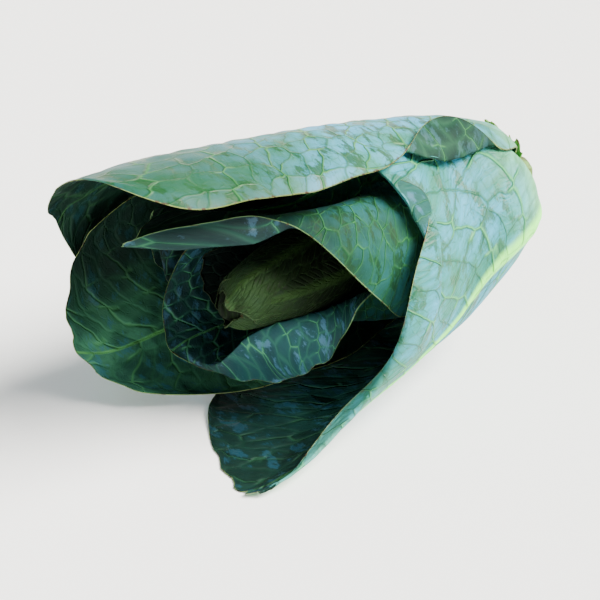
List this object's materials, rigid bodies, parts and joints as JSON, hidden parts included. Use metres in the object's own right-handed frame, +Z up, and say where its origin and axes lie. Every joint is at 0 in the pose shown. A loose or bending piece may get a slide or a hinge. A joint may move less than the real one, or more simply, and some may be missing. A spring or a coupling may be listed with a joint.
{
  "type": "pointed cabbage",
  "caption": "Pointed cabbage lying on its side, its loose wrapper leaves open at the pointed end round a closed heart, with a short cut stalk at the other end.",
  "frame": {"origin": "middle of the footprint on the surface it lies on", "axes": "+X towards the cut stalk, -X towards the open leaf tips, +Z up"},
  "size_m": [0.2698, 0.1514, 0.1528],
  "materials": {
    "stalk": "freshly cut, moist, browning at the rim",
    "heart": "satin, waxy",
    "inner_leaf": "satin, waxy",
    "cradle_leaf": "glossy inside, waxy outside",
    "hood_leaf": "waxy bloom outside",
    "left_leaf": "glossy inside, waxy outside",
    "right_leaf": "waxy bloom outside, glossy inside",
    "top_leaf": "waxy bloom outside, glossy inside"
  },
  "bodies": {
    "root": {"stalk": "stalk", "heart": "heart", "inner_leaf": "inner_leaf", "cradle_leaf": "cradle_leaf", "hood_leaf": "hood_leaf", "left_leaf": "left_leaf", "right_leaf": "right_leaf", "top_leaf": "top_leaf"}
  },
  "joints": []
}
